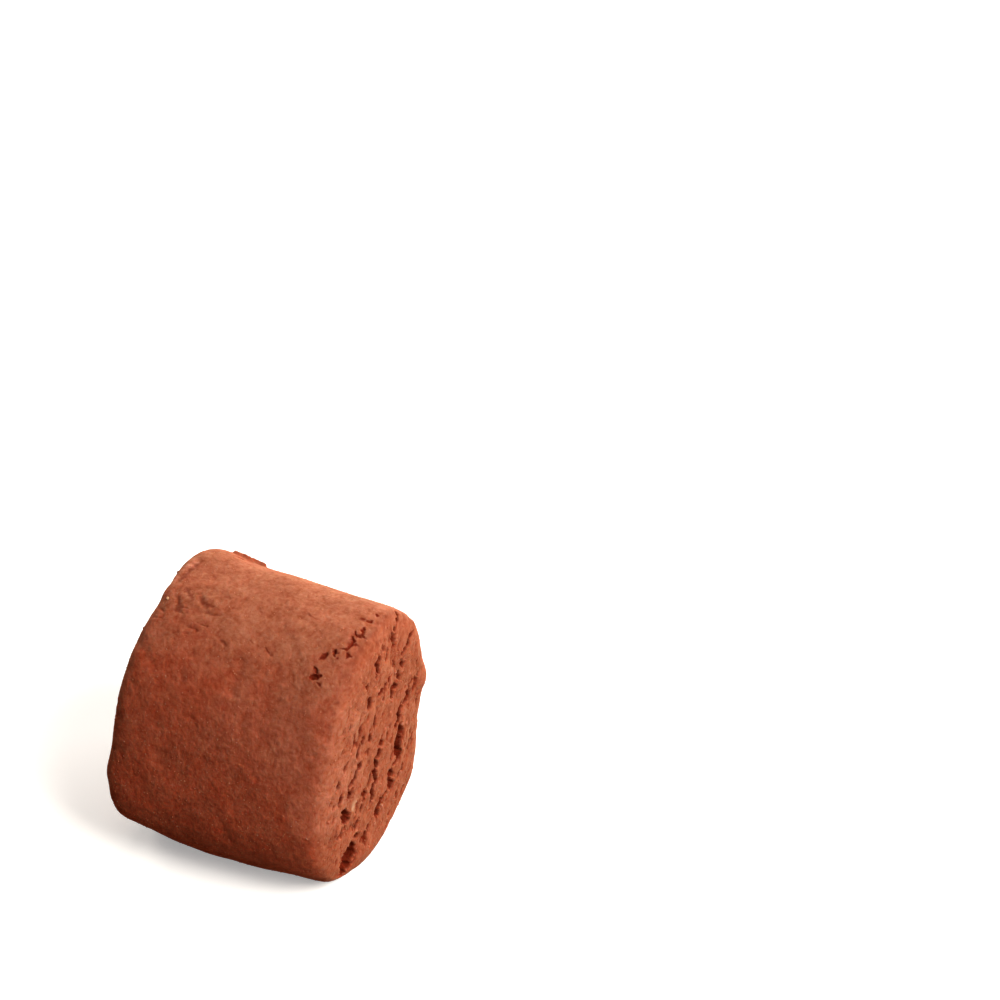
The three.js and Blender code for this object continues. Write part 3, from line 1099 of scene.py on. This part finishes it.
def paste_material(colours, group):
    """The paste: dry red-brown skin with duller patches and paler where cut, with painted shade in
    its cracks, in the grain's pits and on the rim over the cut end, and painted highlights on its
    top, on the grain's tips and on the left end's lip.
    """
    material, tree, shader, place = new_material("cocoa_paste")
    grain = with_grain(tree, place, group, *PASTE_GRAIN)
    patches = grain.outputs["Patches"]
    # Dust and painted light: the skin goes to the paler, duller bloom on what faces up, as a painted
    # highlight, and on what faces back.
    dust = math_node(tree, "ADD", attribute(tree, "dust"), DUST_AND_LIGHT_SHIFT)
    dry_and_lit = math_node(tree, "MULTIPLY_ADD", patches, PATCH_SHARE, dust)
    skin = mixed(tree, dry_and_lit, colour(colours.skin), colour(colours.bloom))
    paste = mixed(tree, attribute(tree, "cut"), skin, colour(colours.cut))
    # Painted shade: the rim over the cut end is darkened where it faces the light.
    paste = mixed(tree, attribute(tree, "pressed"), paste, colour(RIM_SHADE_TINT), "MULTIPLY")
    # Pale patches in the powder's colour: drier paste and painted light round the cut rim, and a
    # painted highlight on the left end's lip.
    pale = math_node(tree, "MULTIPLY", attribute(tree, "pale"), PALE_AND_LIT_SHARE)
    paste = mixed(tree, pale, paste, colour(colours.powder))
    # Painted shade and highlight from the relief's height and the grain's bump noise: darker and
    # redder low down and in pits, paler on the tips.
    high = math_node(tree, "MULTIPLY_ADD", attribute(tree, "height"), HEIGHT_TINT, TINT_SHIFT)
    uneven = math_node(tree, "MULTIPLY_ADD", grain.outputs["Lumps"], LUMP_TINT, high)
    raised = math_node(tree, "MULTIPLY_ADD", grain.outputs["Grain"], GRAIN_TINT, uneven)
    tint = mixed(tree, raised, colour(PIT_SHADE_TINT), colour(TIP_HIGHLIGHT_TINT))
    shaded = mixed(tree, 1.0, paste, tint, "MULTIPLY")
    flecks = math_node(tree, "MULTIPLY", grain.outputs["Flecks"], FLECK_SHARE)
    flecked = mixed(tree, flecks, shaded, colour(colours.nut))
    nutty = math_node(tree, "MULTIPLY", attribute(tree, "nutty"), NUT_SHARE)
    flecked = mixed(tree, nutty, flecked, colour(colours.nut))
    hairlines = fissures(tree, place)
    # Painted shade in the cracks, holes, folds, hairlines and on the ridges: the paste goes towards
    # the dark crack colour.
    hollow = ranged(tree, attribute(tree, "hollow"), *HOLLOW_SHADE_EDGES)
    hollow = math_node(tree, "MAXIMUM", hollow,
                       math_node(tree, "MULTIPLY", hairlines, HAIRLINE_SHARE))
    bump = add_node(tree, "ShaderNodeBump", inputs={
        "Strength": 1.0,
        "Distance": ranged(tree, attribute(tree, "torn"), 0, 1, *GRAIN_RISE),
        "Height": math_node(tree, "MULTIPLY_ADD", hairlines, HAIRLINE_BUMP,
                            grain.outputs["Height"]),
    })
    feed(tree, shader, {
        "Base Color": mixed(tree, hollow, flecked, colour(colours.crack_shade)),
        "Roughness": ranged(tree, patches, 0, 1, *PASTE_ROUGHNESS),
        "Specular IOR Level": 0.06,
        "Sheen Weight": ranged(tree, hollow, 0, SHEEN_HOLLOW, SHEEN, 0),
        "Sheen Roughness": 0.5,
        "Sheen Tint": colour(SHEEN_TINT),
        "Subsurface Weight": LIGHT_SHARE,
        "Subsurface Radius": LIGHT_REACH,
        "Subsurface Scale": 0.25 * MM,
        "Normal": bump.outputs["Normal"],
    })
    return material


def layered_place(tree, place):
    """Coordinates drawn together along the paste's layers, so that a pattern on them is stretched."""
    lean = Vector((0, *LAYER_LEAN)).normalized()
    run = add_node(tree, "ShaderNodeVectorMath", {"operation": "DOT_PRODUCT"}, {0: place, 1: lean})
    back = add_node(tree, "ShaderNodeVectorMath", {"operation": "SCALE"}, {
        0: lean, "Scale": math_node(tree, "MULTIPLY", run.outputs["Value"], -STRETCH),
    })
    return add_node(tree, "ShaderNodeVectorMath", {"operation": "ADD"}, {
        0: place, 1: back.outputs[0],
    }).outputs[0]


def fissures(tree, place):
    """A mask of the hairline cracks where the paste is torn."""
    tears = noise_texture(tree, layered_place(tree, place), HAIRLINE_SIZE, 2.0)
    from_line = math_node(tree, "ABSOLUTE", math_node(tree, "SUBTRACT", tears, 0.5), 0)
    lines = ranged(tree, from_line, 0.0, HAIRLINE_WIDTH, 1.0, 0.0)
    broken = ranged(tree, noise_texture(tree, place, HAIRLINE_BREAK_SIZE, 1.0), *HAIRLINE_BREAKS)
    return math_node(tree, "MULTIPLY", math_node(tree, "MULTIPLY", lines, broken),
                     attribute(tree, "torn"))


def crumb_material(name, low, high, group, roughness):
    """Loose crumbs whose colour varies from one to the next."""
    material, tree, shader, place = new_material(name)
    grain = with_grain(tree, place, group, *CRUMB_GRAIN)
    each = mixed(tree, attribute(tree, "shade"), colour(low), colour(high))
    shade = ranged(tree, grain.outputs["Grain"], 0, 1, *CRUMB_SHADES)
    tint = add_node(tree, "ShaderNodeCombineColor", inputs={
        "Red": shade, "Green": shade, "Blue": shade,
    }).outputs["Color"]
    bump = add_node(tree, "ShaderNodeBump", inputs={
        "Strength": 0.5, "Distance": 0.03 * MM, "Height": grain.outputs["Height"],
    })
    feed(tree, shader, {
        "Base Color": mixed(tree, 1.0, each, tint, "MULTIPLY"),
        "Roughness": ranged(tree, grain.outputs["Patches"], 0, 1, roughness, 0.95),
        "Specular IOR Level": 0.1,
        "Subsurface Weight": LIGHT_SHARE,
        "Subsurface Radius": LIGHT_REACH,
        "Subsurface Scale": 0.2 * MM,
        "Normal": bump.outputs["Normal"],
    })
    return material


def floor_material(colours):
    """A pale matt floor, which throws back less light than it shows."""
    material, tree, shader, place = new_material("pale_floor")
    speckle = add_node(tree, "ShaderNodeTexNoise", inputs={
        "Vector": place, "Scale": SPECK_SCALE,
    })
    specks = ranged(tree, speckle.outputs["Fac"], *SPECK_EDGES, 0.0, SPECK_SHARE)
    pale = mixed(tree, specks, colour(colours.floor), colour(SPECK_GREY))
    seen = add_node(tree, "ShaderNodeLightPath").outputs["Is Camera Ray"]
    dim = mixed(tree, 1.0, pale, colour(FLOOR_BOUNCE), "MULTIPLY")
    feed(tree, shader, {
        "Base Color": mixed(tree, seen, dim, pale),
        "Emission Color": (1.0, 0.99, 0.98, 1.0),
        "Emission Strength": math_node(tree, "MULTIPLY", seen, FLOOR_GLOW),
        "Roughness": 0.95,
        "Specular IOR Level": 0.1,
    })
    return material


# ---- Crumbs, by Geometry Nodes


def crumb_tree():
    """A tree that strews crumbs over a surface: uneven little lumps, each turned its own way."""
    tree, given, made = new_group(
        "strewn_crumbs", "GeometryNodeTree",
        (
            ("Surface", "NodeSocketGeometry", None),
            ("Density", "NodeSocketFloat", 1e6),
            ("Skin Share", "NodeSocketFloat", 0.5),
            ("Radius", "NodeSocketFloat", 0.1 * MM),
            ("Fineness", "NodeSocketInt", 1),
            ("Smallest", "NodeSocketFloat", 0.5),
            ("Largest", "NodeSocketFloat", 1.7),
            ("Seed", "NodeSocketInt", 1),
            ("Material", "NodeSocketMaterial", None),
        ),
        (("Geometry", "NodeSocketGeometry"),),
    )
    give = given.outputs
    torn, hollow = (
        add_node(tree, "GeometryNodeInputNamedAttribute", {"data_type": "FLOAT"}, {"Name": name})
        for name in ("torn", "hollow")
    )
    bare = ranged(tree, hollow.outputs["Attribute"], 0, CRUMB_HOLLOW, 1.0, 0.0)
    share = math_node(tree, "MULTIPLY", bare,
                      ranged(tree, torn.outputs["Attribute"], 0, 1, give["Skin Share"], 1.0))
    strewn = add_node(tree, "GeometryNodeDistributePointsOnFaces", inputs={
        "Mesh": give["Surface"], "Seed": give["Seed"],
        "Density": math_node(tree, "MULTIPLY", give["Density"], share),
    })
    squash = add_node(tree, "FunctionNodeRandomValue", {"data_type": "FLOAT_VECTOR"}, {
        0: CRUMB_FLAT[0], 1: CRUMB_FLAT[1], "Seed": give["Seed"],
    })
    size = add_node(tree, "FunctionNodeRandomValue", {"data_type": "FLOAT"}, {
        2: give["Smallest"], 3: give["Largest"], "Seed": math_node(tree, "ADD", give["Seed"], 1),
    })
    scale = add_node(tree, "ShaderNodeVectorMath", {"operation": "SCALE"}, {
        0: squash.outputs[0], "Scale": size.outputs[1],
    })
    turn = add_node(tree, "FunctionNodeRandomValue", {"data_type": "FLOAT_VECTOR"}, {
        0: (-CRUMB_TILT, -CRUMB_TILT, 0), 1: (CRUMB_TILT, CRUMB_TILT, math.tau),
        "Seed": math_node(tree, "ADD", give["Seed"], 2),
    })
    turned = add_node(tree, "FunctionNodeRotateRotation", {"rotation_space": "LOCAL"}, {
        "Rotation": strewn.outputs["Rotation"], "Rotate By": turn.outputs[0],
    })
    lump = add_node(tree, "GeometryNodeMeshIcoSphere", inputs={
        "Radius": give["Radius"], "Subdivisions": give["Fineness"],
    })
    sink = add_node(tree, "ShaderNodeCombineXYZ", inputs={
        "Z": math_node(tree, "MULTIPLY", give["Radius"], CRUMB_SINK),
    })
    sunk = add_node(tree, "GeometryNodeTransform", inputs={
        "Geometry": lump.outputs["Mesh"], "Translation": sink.outputs[0],
    })
    placed = add_node(tree, "GeometryNodeInstanceOnPoints", inputs={
        "Points": strewn.outputs["Points"], "Instance": sunk.outputs["Geometry"],
        "Scale": scale.outputs[0], "Rotation": turned.outputs[0],
    })
    shade = add_node(tree, "FunctionNodeRandomValue", {"data_type": "FLOAT"}, {
        2: 0.0, 3: 1.0, "Seed": math_node(tree, "ADD", give["Seed"], 3),
    })
    noted = add_node(tree, "GeometryNodeStoreNamedAttribute", {
        "data_type": "FLOAT", "domain": "INSTANCE",
    }, {"Geometry": placed.outputs["Instances"], "Name": "shade", "Value": shade.outputs[1]})
    real = add_node(tree, "GeometryNodeRealizeInstances", inputs={
        "Geometry": noted.outputs["Geometry"],
    })
    place = add_node(tree, "GeometryNodeInputPosition").outputs[0]
    lump_size = math_node(tree, "MULTIPLY", give["Radius"], CRUMB_LUMP_SIZE)
    uneven = noise_texture(tree, place, lump_size, 1.0)
    swelling = math_node(tree, "MULTIPLY", math_node(tree, "SUBTRACT", uneven, 0.5), give["Radius"])
    outward = add_node(tree, "ShaderNodeVectorMath", {"operation": "SCALE"}, {
        0: add_node(tree, "GeometryNodeInputNormal").outputs[0],
        "Scale": math_node(tree, "MULTIPLY", swelling, CRUMB_LUMP_HEIGHT),
    })
    lumpy = add_node(tree, "GeometryNodeSetPosition", inputs={
        "Geometry": real.outputs["Geometry"], "Offset": outward.outputs[0],
    })
    clothed = add_node(tree, "GeometryNodeSetMaterial", inputs={
        "Geometry": lumpy.outputs["Geometry"], "Material": give["Material"],
    })
    tree.links.new(clothed.outputs["Geometry"], made.inputs["Geometry"])
    return tree


def strew(name, surface, tree, values):
    """A piece of crumbs strewn over a surface, as a plain mesh."""
    piece = bpy.data.objects.new(name, surface.data.copy())
    bpy.context.scene.collection.objects.link(piece)
    modifier = piece.modifiers.new("strewn", "NODES")
    modifier.node_group = tree
    for item in tree.interface.items_tree:
        if item.in_out == "INPUT" and item.name in values:
            modifier[item.identifier] = values[item.name]
    bpy.context.view_layer.update()
    evaluated = piece.evaluated_get(bpy.context.evaluated_depsgraph_get())
    mesh = bpy.data.meshes.new_from_object(evaluated)
    piece.modifiers.remove(modifier)
    piece.data = mesh
    mesh.name = name
    return piece


def lift_off_floor(piece):
    """Crumbs under the roll lie on the floor, and none goes through it."""
    points = np.empty(len(piece.data.vertices) * 3)
    piece.data.vertices.foreach_get("co", points)
    points[2::3] = np.maximum(points[2::3], 0)
    piece.data.vertices.foreach_set("co", points)
    piece.data.update()


def settle(piece, *nodes):
    """Gives a finished piece its body and the CAD nodes that it stands for."""
    if not piece.data.polygons:
        raise RuntimeError(f"{piece.name} has no faces")
    piece.data.calc_loop_triangles()
    if len(piece.data.loop_triangles) >= MOST_TRIANGLES:
        raise RuntimeError(f"{piece.name} has {len(piece.data.loop_triangles)} triangles")
    print(piece.name, len(piece.data.loop_triangles), "triangles")
    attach(piece, BODY)
    if nodes:
        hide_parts(*nodes)


def shared_group(name, make):
    """The node group of a name, made if it isn't there yet."""
    return bpy.data.node_groups.get(name) or make()


def strew_piece(name, low, high, roughness, values):
    """Strews a finished piece of crumbs over the roll, in colours from low to high."""
    group = shared_group("cocoa_grain", cocoa_grain_group)
    tree = shared_group("strewn_crumbs", crumb_tree)
    material = crumb_material(name, low, high, group, roughness)
    roll = bpy.data.objects["truffle_roll"]
    piece = strew(name, roll, tree, {**values, "Material": material})
    lift_off_floor(piece)
    settle(piece)


class TRUFFLE_OT_roll(bpy.types.Operator):
    """Shape the roll of paste, with its skin, torn ends and cracks"""

    bl_idname = "truffle.shape_roll"
    bl_label = "Shape the roll"

    def execute(self, context):
        settings = context.scene.truffle_roll
        tree = surface_finder(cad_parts[NODE])
        laid = [(mark, laid_path(tree, mark)) for mark in CRACKS]
        laid += nicks(tree, "cut", settings) + nicks(tree, "left", settings)
        shape = roll_mesh(NODE, laid, tree)
        finish_relief(shape, laid, settings)
        mesh = bpy.data.meshes.new("truffle_roll")
        shape.to_mesh(mesh)
        shape.free()
        mesh.polygons.foreach_set("use_smooth", np.ones(len(mesh.polygons), bool))
        roll = bpy.data.objects.new("truffle_roll", mesh)
        context.scene.collection.objects.link(roll)
        group = shared_group("cocoa_grain", cocoa_grain_group)
        mesh.materials.append(paste_material(context.scene.truffle_colours, group))
        settle(roll, NODE)
        return {"FINISHED"}


class TRUFFLE_OT_grains(bpy.types.Operator):
    """Strew loose cocoa grains over the roll"""

    bl_idname = "truffle.strew_grains"
    bl_label = "Strew cocoa grains"

    def execute(self, context):
        colours = context.scene.truffle_colours
        crumbs = context.scene.truffle_crumbs
        strew_piece("cocoa_grains", colours.bloom, colours.powder, 0.8, {
            "Density": crumbs.grains / MM**2, "Skin Share": 0.6, "Radius": crumbs.grain_size,
            "Fineness": 1, "Seed": 3,
        })
        return {"FINISHED"}


class TRUFFLE_OT_crumbs(bpy.types.Operator):
    """Leave crumbs of paste clinging to the torn ends"""

    bl_idname = "truffle.leave_crumbs"
    bl_label = "Leave crumbs on the ends"

    def execute(self, context):
        colours = context.scene.truffle_colours
        crumbs = context.scene.truffle_crumbs
        strew_piece("paste_crumbs", colours.cut, colours.powder, 0.85, {
            "Density": crumbs.crumbs / MM**2, "Skin Share": 0.0, "Radius": crumbs.crumb_size,
            "Fineness": 2, "Seed": 21,
        })
        return {"FINISHED"}


class TRUFFLE_OT_nuts(bpy.types.Operator):
    """Press specks of chopped nut into the roll"""

    bl_idname = "truffle.press_nuts"
    bl_label = "Press in nut specks"

    def execute(self, context):
        colours = context.scene.truffle_colours
        crumbs = context.scene.truffle_crumbs
        strew_piece("nut_specks", colours.cut, colours.nut, 0.6, {
            "Density": crumbs.nuts / MM**2, "Skin Share": 0.6, "Radius": crumbs.nut_size,
            "Fineness": 2, "Seed": 11,
        })
        return {"FINISHED"}


def add_light(lamp, power):
    """One of the lamps, turned to face the lit point."""
    light = bpy.data.lights.new(lamp.name, "AREA")
    light.size = lamp.width
    light.energy = power
    light.color = lamp.tint
    made = bpy.data.objects.new(lamp.name, light)
    made.location = lamp.place
    facing = Vector(LIT_POINT) - Vector(lamp.place)
    made.rotation_euler = facing.to_track_quat("-Z", "Y").to_euler()
    bpy.context.scene.collection.objects.link(made)


def add_camera():
    """The camera, turned so that its aim point shows at AIM_PIXEL."""
    away = Vector((
        math.cos(CAMERA_RISE) * math.sin(CAMERA_TURN),
        -math.cos(CAMERA_RISE) * math.cos(CAMERA_TURN),
        math.sin(CAMERA_RISE),
    ))
    camera = bpy.data.objects.new("camera", bpy.data.cameras.new("camera"))
    camera.data.lens = LENS
    camera.data.sensor_width = SENSOR
    camera.data.clip_start = 0.01
    focal = LENS / SENSOR * IMAGE_SIDE
    across = (AIM_PIXEL[0] - IMAGE_SIDE / 2) / focal
    up = (IMAGE_SIDE / 2 - AIM_PIXEL[1]) / focal
    off_middle = Vector((0, 0, -1)).rotation_difference(Vector((across, up, -1)).normalized())
    camera.location = AIM + away * CAMERA_REACH
    turn = (-away).to_track_quat("-Z", "Y") @ off_middle.inverted()
    camera.rotation_euler = turn.to_euler()
    bpy.context.scene.collection.objects.link(camera)
    bpy.context.scene.camera = camera


def light_sky(strength):
    """Even pale light from all round, which shows as white behind the floor."""
    world = bpy.data.worlds.new("studio")
    world.use_nodes = True
    tree = world.node_tree
    background = tree.nodes["Background"]
    seen = add_node(tree, "ShaderNodeLightPath").outputs["Is Camera Ray"]
    tree.links.new(ranged(tree, seen, 0, 1, strength, 1.0), background.inputs["Strength"])
    background.inputs["Color"].default_value = (1.0, 0.98, 0.96, 1.0)
    bpy.context.scene.world = world


class TRUFFLE_OT_stage(bpy.types.Operator):
    """Set the pale floor, the soft lights and the camera"""

    bl_idname = "truffle.set_stage"
    bl_label = "Set the stage"

    def execute(self, context):
        stage = context.scene.truffle_stage
        mesh = bpy.data.meshes.new("floor")
        ways = ((-1, -1), (1, -1), (1, 1), (-1, 1))
        corners = [(x * FLOOR_REACH, y * FLOOR_REACH, 0) for x, y in ways]
        mesh.from_pydata(corners, [], [(0, 1, 2, 3)])
        mesh.materials.append(floor_material(context.scene.truffle_colours))
        floor = bpy.data.objects.new("floor", mesh)
        context.scene.collection.objects.link(floor)
        for lamp in LAMPS:
            add_light(lamp, getattr(stage, f"{lamp.name}_power"))
        light_sky(stage.sky)
        add_camera()
        context.scene.view_settings.view_transform = "Standard"
        return {"FINISHED"}


OPERATORS = (
    TRUFFLE_OT_roll,
    TRUFFLE_OT_grains,
    TRUFFLE_OT_crumbs,
    TRUFFLE_OT_nuts,
    TRUFFLE_OT_stage,
)
SETTINGS = {
    "truffle_roll": RollSettings,
    "truffle_crumbs": CrumbSettings,
    "truffle_colours": ColourSettings,
    "truffle_stage": StageSettings,
}


class TRUFFLE_PT_panel(bpy.types.Panel):
    """Lists the truffle's steps and their settings."""

    bl_label = "Chocolate truffle"
    bl_idname = "TRUFFLE_PT_panel"
    bl_space_type = "VIEW_3D"
    bl_region_type = "UI"
    bl_category = "Truffle"

    def draw(self, context):
        for name, group in SETTINGS.items():
            box = self.layout.box()
            for label in group.__annotations__:
                box.prop(getattr(context.scene, name), label)
        for operator in OPERATORS:
            self.layout.operator(operator.bl_idname)


def register():
    """Makes the settings, the operators and the panel known to Blender."""
    for name, group in SETTINGS.items():
        bpy.utils.register_class(group)
        setattr(bpy.types.Scene, name, PointerProperty(type=group))
    for operator in OPERATORS:
        bpy.utils.register_class(operator)
    bpy.utils.register_class(TRUFFLE_PT_panel)


def unregister():
    """Takes back what register made known."""
    bpy.utils.unregister_class(TRUFFLE_PT_panel)
    for operator in reversed(OPERATORS):
        bpy.utils.unregister_class(operator)
    for name, group in SETTINGS.items():
        delattr(bpy.types.Scene, name)
        bpy.utils.unregister_class(group)


def main():
    """Makes every piece in order."""
    register()
    bpy.ops.truffle.shape_roll()
    bpy.ops.truffle.strew_grains()
    bpy.ops.truffle.leave_crumbs()
    bpy.ops.truffle.press_nuts()
    bpy.ops.truffle.set_stage()


if __name__ == "__main__":
    main()
